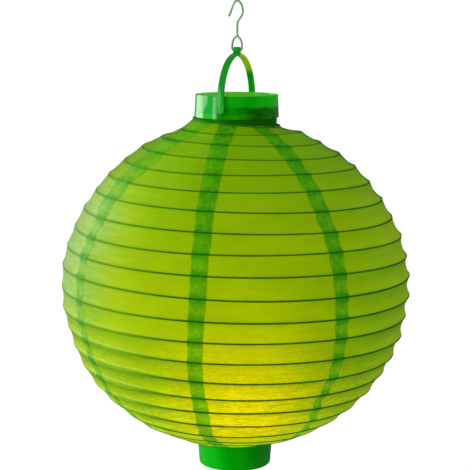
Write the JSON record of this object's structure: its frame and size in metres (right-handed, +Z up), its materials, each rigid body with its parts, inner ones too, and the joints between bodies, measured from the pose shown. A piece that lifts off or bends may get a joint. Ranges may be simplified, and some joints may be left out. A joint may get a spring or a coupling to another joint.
{
  "type": "solar lantern",
  "caption": "Hanging fabric globe on a helical wire rib, with a solar top collar, folding carry handle, wire hook, and a base cup holding the lamp, cell and switch.",
  "frame": {"origin": "inside top of the hook's bend, where the lantern hangs from its support", "axes": "+Z up, from the base cup to the hook; X along the carry handle's hinge axis; Y along the hook's own hinge axis"},
  "size_m": [0.25, 0.25, 0.3356],
  "materials": {
    "steel_wire": "drawn wire, slightly dulled",
    "handle_plastic": "moulded, glossy",
    "collar_plastic": "translucent, glossy",
    "module_plastic": "moulded, satin",
    "backing_board": "matt white board",
    "solar_film": "dark blue cells with fine conductor lines",
    "clear_window": "clear cast cover",
    "black_plastic": "moulded, matt",
    "black_rubber": "soft, matt",
    "zinc_screw": "zinc plated",
    "rib_steel": "thin green coating",
    "green_fabric": "coated translucent cloth with darker glued seams",
    "lead_sheath": "flexible sheath",
    "cup_plastic": "moulded, satin gloss",
    "circuit_board": "solder mask",
    "led_lens": "clear lens",
    "diffuser_plastic": "milky, lit from inside",
    "cell_case": "shrink sleeve",
    "contact_metal": "nickel plated"
  },
  "bodies": {
    "hook": {"hanging_hook": "steel_wire"},
    "handle": {"carry_handle": "handle_plastic"},
    "lantern_top": {"top_collar": "collar_plastic", "module_housing": "module_plastic", "solar_backing": "backing_board", "solar_cells": "solar_film", "panel_window": "clear_window", "module_floor": "black_plastic", "module_seal": "black_rubber", "module_screw_1": "zinc_screw", "module_screw_2": "zinc_screw", "module_screw_3": "zinc_screw", "upper_grommet": "black_rubber", "top_hoop": "rib_steel", "lantern_skin": "green_fabric", "rib_wire": "rib_steel", "lamp_lead": "lead_sheath"},
    "lantern_base": {"base_cup": "cup_plastic", "lamp_deck": "module_plastic", "deck_screw_1": "zinc_screw", "deck_screw_2": "zinc_screw", "deck_screw_3": "zinc_screw", "lower_grommet": "black_rubber", "bottom_hoop": "rib_steel", "led_board": "circuit_board", "driver_chip": "black_plastic", "led": "led_lens", "lamp_diffuser": "diffuser_plastic", "battery_cell": "cell_case", "battery_spring": "contact_metal", "contact_negative": "contact_metal", "contact_positive": "contact_metal", "switch_body": "contact_metal"},
    "switch_slider": {"switch_knob": "black_plastic"},
    "door": {"battery_door": "cup_plastic", "door_screw": "zinc_screw"}
  },
  "joints": [
    {"name": "hook_swing", "type": "hinge", "parent": "hook", "child": "handle", "pos_m": [0, 0, -0.03365], "axis": [0, 1, 0], "range_deg": [-100, 100]},
    {"name": "handle_swing", "type": "hinge", "parent": "handle", "child": "lantern_top", "pos_m": [0, 0, -0.07455], "axis": [1, 0, 0], "range_deg": [-100, 100]},
    {"name": "collapse", "type": "slide", "parent": "lantern_top", "child": "lantern_base", "axis": [0, 0, 1], "range_m": [0, 0.2], "deforming": ["lantern_skin", "rib_wire", "lamp_lead"]},
    {"name": "switch_slide", "type": "slide", "parent": "lantern_base", "child": "switch_slider", "axis": [1, 0, 0], "range_m": [0, 0.0036]},
    {"name": "door_drop", "type": "slide", "parent": "lantern_base", "child": "door", "axis": [0, 0, -1], "range_m": [0, 0.03]}
  ]
}
